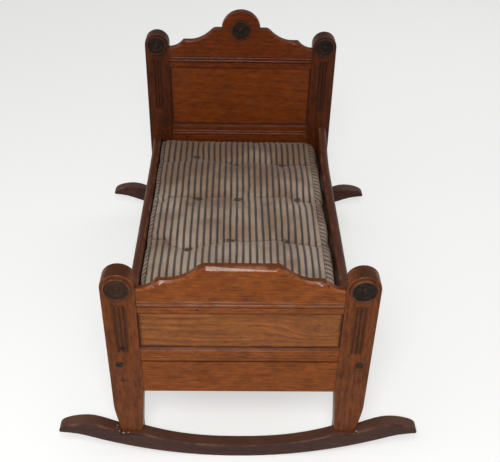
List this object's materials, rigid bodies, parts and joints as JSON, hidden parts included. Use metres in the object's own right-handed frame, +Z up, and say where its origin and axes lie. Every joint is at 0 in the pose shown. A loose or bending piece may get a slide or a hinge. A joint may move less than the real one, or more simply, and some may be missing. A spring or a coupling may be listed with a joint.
{
  "type": "rocking doll bed",
  "caption": "Wooden doll bed on two cross rockers, with panelled ends, turned rosettes, screwed side rails and a loose tufted ticking mattress.",
  "frame": {"origin": "middle of the bed on the floor: centre of the bounding box in X and Y, underside of the rockers in Z", "axes": "+X to the right across the bed as seen from its foot, +Y from the foot to the head, +Z up"},
  "size_m": [0.4204, 0.5258, 0.3617],
  "materials": {
    "red_wood": "worn varnish over red-brown wood",
    "brown_wood": "worn varnish over orange-brown wood",
    "pale_wood": "worn varnish over figured honey-coloured wood",
    "plain_wood": "sawn and unfinished",
    "ebonised_wood": "turned and blackened",
    "dark_steel": "dull and darkened with age",
    "ticking": "striped cotton ticking, worn and stained"
  },
  "bodies": {
    "bed": {"foot_post_left": "red_wood", "foot_post_right": "red_wood", "foot_crest_rail": "brown_wood", "foot_panel": "pale_wood", "foot_lower_rail": "brown_wood", "foot_rocker": "red_wood", "foot_rosette_left": "ebonised_wood", "foot_rosette_right": "ebonised_wood", "head_post_left": "red_wood", "head_post_right": "red_wood", "head_crest_rail": "brown_wood", "head_panel": "pale_wood", "head_lower_rail": "brown_wood", "head_rocker": "red_wood", "head_rosette_left": "ebonised_wood", "head_rosette_right": "ebonised_wood", "head_rosette_crest": "ebonised_wood", "side_rail_left": "red_wood", "side_rail_right": "red_wood", "slat_ledger_left": "plain_wood", "slat_ledger_right": "plain_wood", "slat_1": "plain_wood", "slat_2": "plain_wood", "slat_3": "plain_wood", "slat_4": "plain_wood", "slat_5": "plain_wood", "slat_6": "plain_wood", "bed_screw_foot_left": "dark_steel", "rocker_screw_foot_left": "dark_steel", "bed_screw_foot_right": "dark_steel", "rocker_screw_foot_right": "dark_steel", "bed_screw_head_left": "dark_steel", "rocker_screw_head_left": "dark_steel", "bed_screw_head_right": "dark_steel", "rocker_screw_head_right": "dark_steel", "ledger_nail_left_1": "dark_steel", "ledger_nail_left_2": "dark_steel", "ledger_nail_left_3": "dark_steel", "slat_nail_left_1": "dark_steel", "slat_nail_left_2": "dark_steel", "slat_nail_left_3": "dark_steel", "slat_nail_left_4": "dark_steel", "slat_nail_left_5": "dark_steel", "slat_nail_left_6": "dark_steel", "ledger_nail_right_1": "dark_steel", "ledger_nail_right_2": "dark_steel", "ledger_nail_right_3": "dark_steel", "slat_nail_right_1": "dark_steel", "slat_nail_right_2": "dark_steel", "slat_nail_right_3": "dark_steel", "slat_nail_right_4": "dark_steel", "slat_nail_right_5": "dark_steel", "slat_nail_right_6": "dark_steel"},
    "mattress": {"mattress": "ticking"}
  },
  "joints": [
    {"name": "mattress_lift", "type": "slide", "parent": "bed", "child": "mattress", "axis": [0, 0, 1], "range_m": [0, 0.12]}
  ]
}
